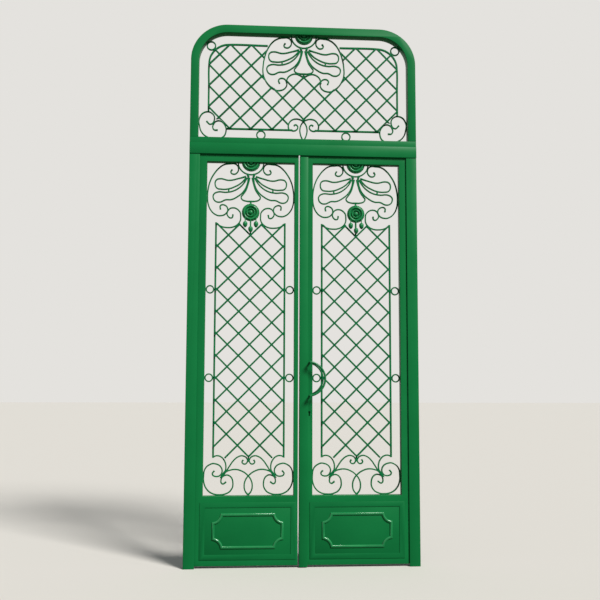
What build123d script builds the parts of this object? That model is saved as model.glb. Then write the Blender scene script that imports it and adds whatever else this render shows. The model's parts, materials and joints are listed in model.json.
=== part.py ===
from build123d import *

import os
from math import acos, ceil, cos, degrees, hypot, radians, sin, sqrt

# Pair of wrought iron entrance gates under an arched transom grille.
# Millimetres. X runs along the gate, Y from its front to its back, Z up.
# The origin is the centre of the left jamb's foot, on the ground.

# Fixed frame
opening_width = 1300.0
ground_gap = 14.0
jamb_face = 50.0
frame_depth = 60.0
stop_reach = 15.0
stop_thickness = 4.0
stop_clearance = 5.0
head_clearance = 10.0
head_face = 40.0
cover_rise = 13.0
cover_thickness = 4.0

# Arched frame of the transom
arch_face = 50.0
arch_opening_height = 667.0
arch_outer_radius = 228.0

# Leaves
leaf_height = 2462.0
side_gap = 8.0
meeting_width = 112.0
stile_face = 50.0
rail_face = 50.0
leaf_depth = 50.0
mid_rail_top = 400.0

# Kick panels
sheet_thickness = 3.0
trim_width = 30.0
trim_thickness = 3.0
trim_lap = 15.0
moulding_width = 17.0
moulding_base = 4.0
moulding_bead = 9.0
moulding_rise = 7.0
moulding_inset_x = 57.0
moulding_inset_z = 47.5
notch_radius = 50.0
notch_sides = 16

# Narrow closing stile of the left leaf, the open gap beside it, and the strip on the lock stile
closing_stile_face = 25.0
swing_gap = 8.5
strip_face = 50.0
strip_thickness = 6.0
strip_drop = 10.0
strip_top_gap = 12.0

# Grille bars, with depths from the front of the frame
lattice_front = 22.0
lattice_step = 4.0
lattice_bar = 10.0
web_front = 34.0
bar_depth = 12.0
border_bar = 11.0
scroll_bar = 7.0
ring_bar = 7.0
ring_sides = 16
weld_gap = 0.2
seat_bite = 0.3
bend_sag = 1.3
bend_samples = 90

# Leaf grille
border_inset = 58.0
lattice_columns = 3
lattice_rows = 21
lattice_foot = 228.0
lattice_head = 385.0
lattice_lap = 10.0
lattice_tail = 11.0
lattice_tip = 6.0
ring_rows = (7, 15)

# Transom grille
transom_columns = 9
transom_rows = 8
transom_border_side = 60.0
transom_border_foot = 65.0
transom_border_head = 64.0
transom_corner_radius = 125.0
transom_ring_x = 265.0
border_curl_top = 173.0
border_curl_side = 168.0
foot_curl_lap = 4.0

# Palmette, rosettes and buds
pattern_half = 269.0
collar_radius = 80.0
collar_rise = 8.0
tie_width = 9.0
half_rosette_radius = 57.0
half_rosette_lift = 3.0
rosette_radius = 54.0
rosette_drop = 310.0
rosette_disc = 9.0
rosette_rim = 16.0
rosette_boss = 21.0
rosette_rings = ((0.94, 0.76), (0.52, 0.34))
rosette_boss_share = 0.18
rosette_sides = 16
bud_radius = 11.0
bud_neck = 3.0
bud_tip = 2.5
bud_axis_rise = 17.0
bud_length = 38.0
bud_swell = 0.68
bud_belly = 0.45
bud_sides = 8
bud_seat_radius = 46.0
side_bud_spread = 33.0
side_bud_tip = 96.0
centre_bud_tip = 127.0

# Pull handles and keyhole, on the meeting stile of the right leaf
handle_height = 1090.0
handle_spread = 200.0
handle_bow = 88.0
handle_bar = 14.0
handle_sides = 8
handle_facets = 10
handle_standoff = 50.0
handle_x = 41.0
rose_radius = 9.0
rose_thickness = 3.0
keyhole_x = 36.5
keyhole_height = 890.0
keyhole_radius = 6.5
keyhole_slot = 7.0
keyhole_drop = 22.0
keyhole_depth = 15.0

# Hinges
hinge_heights = (250.0, 1250.0, 2250.0)
knuckle_radius = 8.0
knuckle_sides = 8
knuckle_length = 40.0
knuckle_gap = 1.0
knuckle_clearance = 1.0
pin_radius = 4.0
pin_clearance = 0.05
hinge_plate_width = 30.0
hinge_plate_thickness = 4.0
hinge_plate_offset = 2.0

# Places worked out from the sizes above
centre_x = (opening_width + jamb_face) / 2
front_y = -frame_depth / 2
half_opening = opening_width / 2
frame_half = half_opening + jamb_face
leaf_top = ground_gap + leaf_height
leaf_front = stop_thickness + stop_clearance
leaf_back = leaf_front + leaf_depth
leaf_outer = half_opening - side_gap
grille_inner = meeting_width / 2
grille_outer = leaf_outer - stile_face
leaf_centre = (grille_outer + grille_inner) / 2
grille_half = (grille_outer - grille_inner) / 2
closing_edge = closing_stile_face - grille_inner
lock_edge = closing_edge + swing_gap
rail_under = leaf_top - rail_face
sill_top = ground_gap + mid_rail_top
panel_low = ground_gap + rail_face
panel_high = sill_top - rail_face
panel_middle = (panel_low + panel_high) / 2
head_bottom = leaf_top + head_clearance
stop_top = head_bottom - stop_reach
head_top = head_bottom + head_face
arch_foot = head_top + arch_face
arch_inner_top = arch_foot + arch_opening_height
arch_top = arch_inner_top + arch_face
arch_inner_radius = arch_outer_radius - arch_face
bend_x = frame_half - arch_outer_radius
bend_z = arch_top - arch_outer_radius
scroll_front = web_front + bar_depth
bar_seat = scroll_bar / 2 - seat_bite
stretch = grille_half / pattern_half
hinge_x = half_opening - side_gap / 2
hinge_depth = leaf_back + knuckle_radius + knuckle_clearance


def face_plane(depth, x=0.0):
    """A plane parallel to the front: X runs right from the gate's centre line, Y runs up."""
    return Plane(origin=(centre_x + x, front_y + depth, 0), x_dir=(1, 0, 0), z_dir=(0, -1, 0))


def block(x_range, depth_range, z_range, x=0.0, mode=Mode.ADD):
    """A straight bar between two X values, two depths and two heights."""
    with BuildSketch(face_plane(depth_range[0], x)) as face:
        with Locations(((x_range[0] + x_range[1]) / 2, (z_range[0] + z_range[1]) / 2)):
            Rectangle(abs(x_range[1] - x_range[0]), z_range[1] - z_range[0])
    extrude(face.sketch, amount=depth_range[0] - depth_range[1], mode=mode)


def bent_bar(points):
    """A scroll bar bent edgewise along a smooth line, added to the open sketch.

    It is made of short straight facets, closer together where the line bends more, so that
    none leaves the line by more than bend_sag.
    """
    with BuildLine() as smooth:
        Spline(*points)
    bend = smooth.edges()[0]
    steps = [index / bend_samples for index in range(bend_samples + 1)]
    places = [bend @ step for step in steps]
    ways = [bend % step for step in steps]
    bent = [0.0]
    for index in range(bend_samples):
        turn = radians(ways[index].get_angle(ways[index + 1]))
        length = (places[index + 1] - places[index]).length
        bent.append(bent[-1] + sqrt(turn * length))
    facets = max(1, ceil(bent[-1] / sqrt(8 * bend_sag)))
    left = []
    right = []
    index = 0
    for facet in range(facets + 1):
        target = bent[-1] * facet / facets
        while index < bend_samples - 1 and bent[index + 1] < target:
            index += 1
        share = (target - bent[index]) / max(bent[index + 1] - bent[index], 1e-9)
        step = (index + min(share, 1.0)) / bend_samples
        way = bend % step
        across = Vector(-way.Y, way.X) * scroll_bar / 2
        left.append(bend @ step + across)
        right.append(bend @ step - across)
    Polygon(*left, *reversed(right), align=None)


def straight_bar(start, end, width, mode=Mode.ADD):
    """A straight bar between two points, in the open sketch."""
    with BuildLine() as line:
        Line(start, end)
    trace(line.line, line_width=width, mode=mode)


def volute(eye, first_angle, last_angle, radii):
    """Points round an eye at even steps of angle, one for each radius."""
    step = (last_angle - first_angle) / (len(radii) - 1)
    points = []
    for index, radius in enumerate(radii):
        angle = radians(first_angle + index * step)
        points.append((eye[0] + radius * cos(angle), eye[1] + radius * sin(angle)))
    return points


def placed(points, side, base, across=1.0):
    """Pattern points on one side of a centre line, stretched across and set from a base height."""
    return [(side * x * across, base + z) for x, z in points]


def keep_inside(half_width, low_z, high_z):
    """Cut the open sketch to an opening of the frame, so that the bars seat flat on its sides."""
    with Locations((0, (low_z + high_z) / 2)):
        Rectangle(2 * half_width, high_z - low_z, mode=Mode.INTERSECT)


def finish(piece, name):
    """Label a piece and write it out."""
    piece.part.label = name
    export_step(piece.part, f"parts/{name}.step")


os.makedirs("parts", exist_ok=True)

# Patterns, drawn for the right of a centre line.
# X is the distance from that line, Z the height above or below the rail that carries the pattern.
upper_loop = [
    (30, -84), (74, -97), (134, -110), (190, -101), (212, -109), (220, -134),
    (208, -160), (184, -166), (140, -164), (94, -147), (62, -127), (30, -94),
]
lower_loop = [
    (24, -92), (44, -127), (74, -157), (108, -176), (150, -185), (206, -185), (228, -200),
    (230, -222), (216, -242), (190, -247), (154, -232), (120, -230), (80, -210),
    (44, -177), (24, -137), (15, -92),
]
bell_side = [
    (8, -92), (17, -132), (30, -170), (50, -200), (59, -214), (52, -229), (28, -238), (0, -240),
]
loop_tie = ((136, -163), (136, -187))
hub_side = [(32, 6), (26, -12), (6, -20), (3, -62)]
bell_stem_top = 236
transom_stem_foot = 266

crest_curl = volute((105, -42), 375, 110, (12, 24, 26, 25, 29, 38))
leaf_crest = (
    crest_curl
    + [(135, -bar_seat), (166, -9), (195, -29), (226, -66), (249, -110), (262, -160)]
    + [(pattern_half - bar_seat, -212), (260, -262), (243, -298), (218, -321)]
    + volute((170, -290), 295, 0, (43, 31, 29, 29, 29, 16))
)
border_head = volute((118, -318), -158, 162, (11, 25.5, 26, 27.5, 37, 52)) + [
    (61, -335), (64, -362), (78, -383), (104, -399), (143, -404), (183, -396), (211, -378),
]
border_foot = [(211, 226), (188, 233), (163, 226), (145, 207), (135, 182), (135, 152), (142, 130)]
bottom_bunch = [(170, 102), (158, 125), (142, 145), (130, 152), (126, 143), (136, 128), (154, 104)]
inner_curl = [(141, 131), (128, 147), (112, 172), (88, 205), (60, 227)] + volute(
    (23, 201), 72, 400, (32, 20, 17, 17.5, 16, 11)
)
arch_tie = (196, 236)
crossed_arch = [
    (138, 137), (113, 147), (73, 152), (38, 142), (8, 122), (-17, 89), (-24, 54), (-17, 24),
    (0, bar_seat),
]
corner_scroll = (
    volute((191, 134), 400, 77, (15, 25, 24, 30, 40, 53))
    + [(232, 179), (257, 156), (pattern_half - bar_seat, 112), (263, 72), (246, 36), (216, 12)]
    + [(173, bar_seat), (133, 9), (105, 27)]
    + volute((140, 91), 207, -125, (55, 36, 23, 21.5, 28, 16))
)
transom_crest_back = [
    (130, -bar_seat), (161, -10), (196, -34), (226, -79), (244, -129), (254, -189),
    (254, -239), (241, -279), (219, -313), (191, -337),
]
transom_crest = (
    crest_curl + transom_crest_back + volute((136, -295), 291, -20, (55, 38, 29, 29, 27, 16))
)
crest_shoulder = [(150, -343), (118, -330)]
palmette_skirt = [(0, -264), (21, -251), (51, -241), (81, -249), (101, -269), (108, -300)]
transom_corner_scroll = (
    volute((60, 128), -130, 180, (19, 36, 37, 42, 48, 60 - bar_seat))
    + [(5, 85), (20, 42), (55, 13), (105, bar_seat), (145, 12)]
    + volute((118, 75), -38, 270, (60.6, 46, 43, 33, 28, 17))
)
transom_foot_curl = [(74, -2), (60, -4), (44, 3), (36, 17), (41, 31), (52, 35), (60, 28)]
centre_wing = [(-3, 60), (16, 70), (45, 76), (76, 66), (94, 36), (92, 6)]
centre_oval = [(-6, 66), (12, 44), (22, 12), (19, -22), (8, -50), (0, bar_seat - transom_border_foot)]

# Spaces left clear of the transom's lattice, as widths and heights or as X, Z and radius.
# The first two are measured in from the corners of the opening, the last from the border's foot.
clear_corner = (94, 112)
clear_curls = ((60, 128, 42), (118, 75, 46))
clear_centre = (48, 28, 47)


def draw_palmette(base, across):
    """The palmette: paired loops with their ties, the bell, the round collar and its hub."""
    for side in (-1, 1):
        bent_bar(placed(upper_loop, side, base, across))
        bent_bar(placed(lower_loop, side, base, across))
        bent_bar(placed(bell_side, side, base, across))
        straight_bar(*placed(loop_tie, side, base, across), tie_width)
    bent_bar(volute((0, base + collar_rise), 175, 365, (collar_radius,) * 9))
    hub = base + collar_rise - collar_radius
    with BuildLine() as outline:
        left = placed(hub_side, -1, hub)
        Polyline(*left, *reversed(placed(hub_side, 1, hub)), left[0])
    make_face(outline.line.edges())
    with Locations((0, base + collar_radius)):
        Rectangle(4 * collar_radius, 2 * collar_radius, mode=Mode.SUBTRACT)


def disc(x, z, radius, back, rise, hole=0.0):
    """A round disc or ring that stands forward from a depth, its edge in rosette_sides facets."""
    with BuildSketch(face_plane(back, x)) as face:
        with Locations((0, z)):
            RegularPolygon(radius, rosette_sides)
            if hole:
                RegularPolygon(hole, rosette_sides, mode=Mode.SUBTRACT)
    extrude(face.sketch, amount=rise)


def draw_rosette(x, z, radius, back):
    """A cast rosette: disc, raised rim, raised inner ring and boss."""
    disc(x, z, radius, back, rosette_disc)
    for outer, inner in rosette_rings:
        disc(x, z, outer * radius, back, rosette_rim, inner * radius)
    disc(x, z, rosette_boss_share * radius, back, rosette_boss)


def cut_above(x, z):
    """Cut away what stands above a height, so that a half rosette seats on its rail."""
    reach = 2 * half_rosette_radius
    block((-reach, reach), (0, frame_depth), (z, z + reach), x, Mode.SUBTRACT)


def draw_bud(x, z, back, length):
    """A hanging bud on a thin neck, its tip length below z."""
    depth = front_y + back - bud_axis_rise
    profile = (
        (bud_neck, 0), (bud_neck, length - bud_length), (bud_radius, length - bud_swell * bud_length),
        (bud_radius, length - bud_belly * bud_length), (bud_tip, length),
    )
    sections = []
    for radius, drop in profile:
        with BuildSketch(Plane.XY.offset(z - drop)) as section:
            with Locations((centre_x + x, depth)):
                RegularPolygon(radius, bud_sides)
        sections.append(section.sketch)
    loft(sections, ruled=True)


# Jambs with a stop along their front inner edge, a head bar and the strip that covers it
for side, side_name in ((-1, "left"), (1, "right")):
    with BuildPart() as jamb:
        block((side * half_opening, side * frame_half), (0, frame_depth), (0, head_top))
        block((side * (half_opening - stop_reach), side * half_opening), (0, stop_thickness), (0, stop_top))
    finish(jamb, f"{side_name}_jamb")

with BuildPart() as head_beam:
    block((-half_opening, half_opening), (0, frame_depth), (head_bottom, head_top))
    block((-half_opening, half_opening), (0, stop_thickness), (stop_top, head_bottom))
finish(head_beam, "head_beam")

with BuildPart() as head_cover_strip:
    block((-frame_half, frame_half), (-cover_thickness, 0), (stop_top, head_top + cover_rise))
finish(head_cover_strip, "head_cover_strip")

# Arched frame: a sill bar, two sides bent over at the top, and a top bar between them
with BuildPart() as transom_sill:
    block((-frame_half, frame_half), (0, frame_depth), (head_top, arch_foot))
finish(transom_sill, "transom_sill")

for side, side_name in ((-1, "left"), (1, "right")):
    with BuildPart() as transom_side:
        with BuildSketch(face_plane(0)):
            with Locations((side * (half_opening + arch_face / 2), (arch_foot + bend_z) / 2)):
                Rectangle(arch_face, bend_z - arch_foot)
            with Locations((side * bend_x, bend_z)):
                Circle(arch_outer_radius)
                Circle(arch_inner_radius, mode=Mode.SUBTRACT)
            with Locations((side * (bend_x - arch_outer_radius), bend_z)):
                Rectangle(2 * arch_outer_radius, 2 * arch_outer_radius, mode=Mode.SUBTRACT)
            with Locations((side * (bend_x + arch_inner_radius / 2), bend_z - arch_outer_radius)):
                Rectangle(arch_inner_radius, 2 * arch_outer_radius, mode=Mode.SUBTRACT)
        extrude(amount=-frame_depth)
    finish(transom_side, f"transom_{side_name}_side")

with BuildPart() as transom_top_bar:
    block((-bend_x, bend_x), (0, frame_depth), (arch_inner_top, arch_top))
finish(transom_top_bar, "transom_top_bar")

# Border of the transom's lattice, with its lower bars curled up at the centre
border_x = half_opening - transom_border_side
border_low = arch_foot + transom_border_foot
border_high = arch_inner_top - transom_border_head
border_bend_x = border_x - transom_corner_radius
border_bend_z = border_high - transom_corner_radius
diagonal = 1 / sqrt(2)
crest_side = transom_crest_back[3][0]

with BuildPart() as transom_border:
    with BuildSketch(face_plane(web_front)):
        for side in (-1, 1):
            with BuildLine():
                Line((side * border_x, arch_foot + border_curl_top), (side * border_x, border_bend_z))
                ThreePointArc(
                    (side * border_x, border_bend_z),
                    (
                        side * (border_bend_x + transom_corner_radius * diagonal),
                        border_bend_z + transom_corner_radius * diagonal,
                    ),
                    (side * border_bend_x, border_high),
                )
                Line((side * border_bend_x, border_high), (side * crest_side, border_high))
            trace(line_width=border_bar)
            straight_bar(
                (side * (half_opening - border_curl_side), border_low),
                (side * (transom_foot_curl[0][0] - foot_curl_lap), border_low),
                border_bar,
            )
            bent_bar(placed(transom_foot_curl, side, border_low))
    extrude(amount=-bar_depth)
finish(transom_border, "transom_border")


def lattice_ends(offset, half_columns, rows, step_x, step_z, low_z):
    """The two ends of the rising lattice bar that is offset columns from the centre."""
    first = max(-half_columns, offset)
    last = min(half_columns, rows + offset)
    return (
        (first * step_x, low_z + (first - offset) * step_z),
        (last * step_x, low_z + (last - offset) * step_z),
    )


# Lattice of the transom: rising bars lapped over falling ones, cut to the field between the scrolls
with BuildSketch() as transom_field:
    with Locations((0, (border_low + border_high) / 2)):
        Rectangle(2 * border_x, border_high - border_low)
    fillet(transom_field.vertices().group_by(Axis.Y)[-1], transom_corner_radius)
    for side in (-1, 1):
        with BuildLine():
            back = placed(transom_crest_back, side, arch_inner_top)
            Spline(*back)
            Polyline(
                back[-1],
                *placed(crest_shoulder, side, arch_inner_top),
                *reversed(placed(palmette_skirt, side, arch_inner_top)),
                (0, arch_top), (back[0][0], arch_top), back[0],
            )
        make_face(mode=Mode.SUBTRACT)
        with Locations((side * (half_opening - clear_corner[0] / 2), arch_foot + clear_corner[1] / 2)):
            Rectangle(*clear_corner, mode=Mode.SUBTRACT)
        for clear_x, clear_z, clear_radius in clear_curls:
            with Locations((side * (half_opening - clear_x), arch_foot + clear_z)):
                Circle(clear_radius, mode=Mode.SUBTRACT)
        with Locations((side * clear_centre[0], border_low + clear_centre[1])):
            Circle(clear_centre[2], mode=Mode.SUBTRACT)

column_step = border_x / transom_columns
row_step = (border_high - border_low) / transom_rows
with BuildPart() as transom_lattice:
    for side, depth in ((1, lattice_front), (-1, lattice_front + lattice_step)):
        with BuildSketch(face_plane(depth)):
            for offset in range(2 - transom_columns - transom_rows, transom_columns, 2):
                ends = lattice_ends(
                    offset, transom_columns, transom_rows, column_step, row_step, border_low
                )
                straight_bar(*placed(ends, side, 0), lattice_bar)
            add(transom_field.sketch, mode=Mode.INTERSECT)
        extrude(amount=depth - web_front)
finish(transom_lattice, "transom_lattice")

with BuildPart() as transom_crest_scrolls:
    with BuildSketch(face_plane(scroll_front)):
        for side in (-1, 1):
            bent_bar(placed(transom_crest, side, arch_inner_top))
        keep_inside(half_opening, arch_foot, arch_inner_top)
    extrude(amount=-bar_depth)
finish(transom_crest_scrolls, "transom_crest_scrolls")

with BuildPart() as transom_palmette:
    with BuildSketch(face_plane(web_front)):
        draw_palmette(arch_inner_top, 1.0)
        for side in (-1, 1):
            bent_bar(placed(palmette_skirt, side, arch_inner_top))
        stem = ((0, arch_inner_top - bell_stem_top), (0, arch_inner_top - transom_stem_foot))
        straight_bar(*stem, tie_width)
    extrude(amount=-bar_depth)
finish(transom_palmette, "transom_palmette")

with BuildPart() as transom_rosette:
    draw_rosette(0, arch_inner_top + half_rosette_lift, half_rosette_radius, web_front)
    cut_above(0, arch_inner_top)
finish(transom_rosette, "transom_rosette")

with BuildPart() as transom_corner_scrolls:
    with BuildSketch(face_plane(scroll_front)):
        for side in (-1, 1):
            bent_bar([(side * (half_opening - x), arch_foot + z) for x, z in transom_corner_scroll])
        keep_inside(half_opening, arch_foot, arch_inner_top)
    extrude(amount=-bar_depth)
finish(transom_corner_scrolls, "transom_corner_scrolls")

with BuildPart() as transom_centre_scroll:
    with BuildSketch(face_plane(scroll_front)):
        for side in (-1, 1):
            bent_bar(placed(centre_wing, side, border_low))
            bent_bar(placed(centre_oval, side, border_low))
        keep_inside(half_opening, arch_foot, arch_inner_top)
    extrude(amount=-bar_depth)
finish(transom_centre_scroll, "transom_centre_scroll")

# Rings that hold the border off the frame
frame_corner = (bend_x + arch_inner_radius * diagonal, bend_z + arch_inner_radius * diagonal)
border_outer_radius = transom_corner_radius + border_bar / 2
border_corner = (
    border_bend_x + border_outer_radius * diagonal,
    border_bend_z + border_outer_radius * diagonal,
)
corner_gap = hypot(frame_corner[0] - border_corner[0], frame_corner[1] - border_corner[1])
foot_gap = transom_border_foot - border_bar / 2


def draw_ring(x, z, gap):
    """A round ring that fills a gap, in the open sketch."""
    with Locations((x, z)):
        RegularPolygon(gap / 2 - weld_gap, ring_sides)
        RegularPolygon(gap / 2 - weld_gap - ring_bar, ring_sides, mode=Mode.SUBTRACT)


with BuildPart() as transom_rings:
    with BuildSketch(face_plane(web_front)):
        for side in (-1, 1):
            draw_ring(
                side * (frame_corner[0] + border_corner[0]) / 2,
                (frame_corner[1] + border_corner[1]) / 2,
                corner_gap,
            )
            draw_ring(side * transom_ring_x, arch_foot + foot_gap / 2, foot_gap)
    extrude(amount=-bar_depth)
finish(transom_rings, "transom_rings")


def hinge_plate(side, from_x, to_x, front_depth, low, high):
    """The flat plate that holds a knuckle to the bar behind which it sits."""
    block((side * from_x, side * to_x), (front_depth, front_depth + hinge_plate_thickness), (low, high))


def knuckle(side, low, high):
    """The outside of a knuckle on the hinge line, in knuckle_sides facets."""
    with BuildSketch(Plane.XY.offset(low)) as outside:
        with Locations((centre_x + side * hinge_x, front_y + hinge_depth)):
            RegularPolygon(knuckle_radius, knuckle_sides)
    extrude(outside.sketch, amount=high - low)


def pin(side, radius, low, high, mode=Mode.ADD):
    """A round pin on the hinge line, or the bore that turns on it."""
    with BuildSketch(Plane.XY.offset(low)) as circle:
        with Locations((centre_x + side * hinge_x, front_y + hinge_depth)):
            Circle(radius)
    extrude(circle.sketch, amount=high - low, mode=mode)


# Hinge halves on the jambs: plate, lower knuckle and pin
for side, side_name in ((-1, "left"), (1, "right")):
    with BuildPart() as hinge_pins:
        for height in hinge_heights:
            low = ground_gap + height - knuckle_length
            high = ground_gap + height - knuckle_gap / 2
            knuckle(side, low, high)
            pin(side, pin_radius, high, ground_gap + height + knuckle_length - knuckle_gap)
            hinge_plate(
                side, hinge_x + hinge_plate_offset, half_opening + hinge_plate_width, frame_depth, low, high
            )
    finish(hinge_pins, f"{side_name}_hinge_pins")


def build_leaf_frame(side, name):
    """Stiles and rails of one leaf."""
    depths = (leaf_front, leaf_back)
    middle = side * leaf_centre
    with BuildPart() as hinge_stile:
        block((side * (leaf_outer - stile_face), side * leaf_outer), depths, (ground_gap, leaf_top))
    finish(hinge_stile, f"{name}_hinge_stile")

    with BuildPart() as meeting_stile:
        free_edge = lock_edge if side > 0 else closing_edge
        block((free_edge, side * grille_inner), depths, (ground_gap, leaf_top))
        if side > 0:
            for depth, way in ((leaf_front, -1), (leaf_back, 1)):
                with BuildSketch(face_plane(depth)):
                    with Locations((keyhole_x, ground_gap + keyhole_height)):
                        Circle(keyhole_radius)
                    with Locations((keyhole_x, ground_gap + keyhole_height - keyhole_drop / 2)):
                        Rectangle(keyhole_slot, keyhole_drop)
                extrude(amount=way * keyhole_depth, mode=Mode.SUBTRACT)
    finish(meeting_stile, f"{name}_meeting_stile")

    rails = {
        "top_rail": (rail_under, leaf_top),
        "mid_rail": (panel_high, sill_top),
        "bottom_rail": (ground_gap, panel_low),
    }
    for rail_name, heights in rails.items():
        with BuildPart() as rail:
            block((-grille_half, grille_half), depths, heights, middle)
        finish(rail, f"{name}_{rail_name}")


def moulding_ring(plane, inset, width, rise):
    """One step of the panel moulding: a band round a rectangle with hollow round corners."""
    with BuildSketch(plane) as band:
        for extra, mode in ((inset, Mode.ADD), (inset + width, Mode.SUBTRACT)):
            half_x = grille_half - moulding_inset_x
            half_z = (panel_high - panel_low) / 2 - moulding_inset_z
            with BuildSketch(mode=Mode.PRIVATE) as shape:
                Rectangle(2 * (half_x - extra), 2 * (half_z - extra))
                with Locations([(sx * half_x, sz * half_z) for sx in (-1, 1) for sz in (-1, 1)]):
                    RegularPolygon(notch_radius + extra, notch_sides, mode=Mode.SUBTRACT)
            with Locations((0, panel_middle)):
                add(shape.sketch, mode=mode)
    extrude(band.sketch, amount=rise)


def build_kick_panel(side, name):
    """Sheet, flat bar trim and raised moulding below the middle rail."""
    middle = side * leaf_centre
    with BuildPart() as kick_panel:
        block(
            (-grille_half, grille_half), (leaf_front, leaf_front + sheet_thickness),
            (panel_low, panel_high), middle,
        )
    finish(kick_panel, f"{name}_kick_panel")

    outer_width = 2 * (grille_half + trim_lap)
    outer_height = panel_high - panel_low + 2 * trim_lap
    with BuildPart() as panel_trim:
        with BuildSketch(face_plane(leaf_front, middle)):
            with Locations((0, panel_middle)):
                Rectangle(outer_width, outer_height)
                Rectangle(outer_width - 2 * trim_width, outer_height - 2 * trim_width, mode=Mode.SUBTRACT)
        extrude(amount=trim_thickness)
    finish(panel_trim, f"{name}_panel_trim")

    with BuildPart() as panel_moulding:
        plane = face_plane(leaf_front, middle)
        moulding_ring(plane, 0, moulding_width, moulding_base)
        moulding_ring(plane, (moulding_width - moulding_bead) / 2, moulding_bead, moulding_rise)
    finish(panel_moulding, f"{name}_panel_moulding")


# Lattice of a leaf
border_at = grille_half - border_inset
leaf_column_step = (border_at - lattice_lap) / lattice_columns
lattice_low = sill_top + lattice_foot
leaf_row_step = (rail_under - lattice_head - lattice_low) / lattice_rows
leaf_half_columns = border_at / leaf_column_step


def build_leaf_grille(side, name):
    """Border, lattice, scrolls, palmette, rosettes and rings of one leaf."""
    middle = side * leaf_centre
    with BuildPart() as grille_border:
        with BuildSketch(face_plane(web_front, middle)):
            for half in (-1, 1):
                straight_bar(
                    (half * border_at, sill_top + border_foot[0][1] - border_bar / 2),
                    (half * border_at, rail_under + border_head[-1][1] + border_bar / 2),
                    border_bar,
                )
                bent_bar(placed(border_foot, half, sill_top, stretch))
                bent_bar(placed(border_head, half, rail_under, stretch))
                with BuildLine():
                    corners = placed(bottom_bunch, half, sill_top, stretch)
                    Polyline(*corners, corners[0])
                make_face(mode=Mode.SUBTRACT)
        extrude(amount=-bar_depth)
    finish(grille_border, f"{name}_grille_border")

    with BuildPart() as lattice:
        for slant, depth in ((1, lattice_front), (-1, lattice_front + lattice_step)):
            with BuildSketch(face_plane(depth, middle)):
                for offset in range(2 - lattice_rows - lattice_columns, 1, 2):
                    start, end = lattice_ends(
                        offset, leaf_half_columns, lattice_rows, leaf_column_step, leaf_row_step, lattice_low
                    )
                    if start[1] == lattice_low and offset < 0:
                        start = (start[0] - lattice_tail * diagonal, start[1] - lattice_tail * diagonal)
                    if offset < lattice_columns - lattice_rows + 1:
                        end = (end[0] + lattice_tip * diagonal, end[1] + lattice_tip * diagonal)
                    straight_bar(*placed((start, end), slant, 0), lattice_bar)
            extrude(amount=depth - web_front)
    finish(lattice, f"{name}_lattice")

    with BuildPart() as crest_scrolls:
        with BuildSketch(face_plane(scroll_front, middle)):
            for half in (-1, 1):
                bent_bar(placed(leaf_crest, half, rail_under, stretch))
            keep_inside(grille_half, sill_top, rail_under)
        extrude(amount=-bar_depth)
    finish(crest_scrolls, f"{name}_crest_scrolls")

    with BuildPart() as palmette:
        with BuildSketch(face_plane(web_front, middle)):
            draw_palmette(rail_under, stretch)
            stem_foot = lattice_low + (lattice_rows - 1) * leaf_row_step - lattice_tip
            straight_bar((0, rail_under - bell_stem_top), (0, stem_foot), tie_width)
        extrude(amount=-bar_depth)
    finish(palmette, f"{name}_palmette")

    with BuildPart() as rosettes:
        draw_rosette(middle, rail_under + half_rosette_lift, half_rosette_radius, web_front)
        cut_above(middle, rail_under)
        centre = rail_under - rosette_drop
        draw_rosette(middle, centre, rosette_radius, web_front)
        buds = ((-side_bud_spread, side_bud_tip), (side_bud_spread, side_bud_tip), (0, centre_bud_tip))
        for spread, tip in buds:
            seat = sqrt(bud_seat_radius**2 - spread**2)
            draw_bud(middle + spread, centre - seat, web_front, tip - seat)
    finish(rosettes, f"{name}_rosettes")

    with BuildPart() as bottom_arches:
        with BuildSketch(face_plane(web_front, middle)):
            for half in (-1, 1):
                bent_bar(placed(inner_curl, half, sill_top, stretch))
                bent_bar(placed(crossed_arch, half, sill_top, stretch))
                with BuildLine():
                    corners = placed(bottom_bunch, half, sill_top, stretch)
                    Polyline(*corners, corners[0])
                make_face()
            straight_bar((0, sill_top + arch_tie[0]), (0, sill_top + arch_tie[1]), tie_width)
            keep_inside(grille_half, sill_top, rail_under)
        extrude(amount=-bar_depth)
    finish(bottom_arches, f"{name}_bottom_arches")

    with BuildPart() as bottom_scrolls:
        with BuildSketch(face_plane(scroll_front, middle)):
            for half in (-1, 1):
                bent_bar(placed(corner_scroll, half, sill_top, stretch))
            keep_inside(grille_half, sill_top, rail_under)
        extrude(amount=-bar_depth)
    finish(bottom_scrolls, f"{name}_bottom_scrolls")

    with BuildPart() as rings:
        gap = border_inset - border_bar / 2
        with BuildSketch(face_plane(web_front, middle)):
            for half in (-1, 1):
                for row in ring_rows:
                    draw_ring(half * (grille_half - gap / 2), lattice_low + row * leaf_row_step, gap)
        extrude(amount=-bar_depth)
    finish(rings, f"{name}_rings")


def build_hinge_knuckles(side, name):
    """Upper knuckles and plates that carry one leaf on its pins."""
    with BuildPart() as hinge_knuckles:
        for height in hinge_heights:
            low = ground_gap + height + knuckle_gap / 2
            high = ground_gap + height + knuckle_length
            knuckle(side, low, high)
            hinge_plate(
                side, hinge_x - hinge_plate_offset, leaf_outer - hinge_plate_width, leaf_back, low, high
            )
            pin(side, pin_radius + pin_clearance, low, high, Mode.SUBTRACT)
    finish(hinge_knuckles, f"{name}_hinge_knuckles")


for side, side_name in ((-1, "left"), (1, "right")):
    build_leaf_frame(side, side_name)
    build_kick_panel(side, side_name)
    build_leaf_grille(side, side_name)
    build_hinge_knuckles(side, side_name)

# Flat strip on the front of the lock stile, flush with its free edge
with BuildPart() as cover_strip:
    block(
        (lock_edge, lock_edge + strip_face), (leaf_front - strip_thickness, leaf_front),
        (ground_gap - strip_drop, leaf_top - strip_top_gap),
    )
finish(cover_strip, "right_cover_strip")


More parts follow.
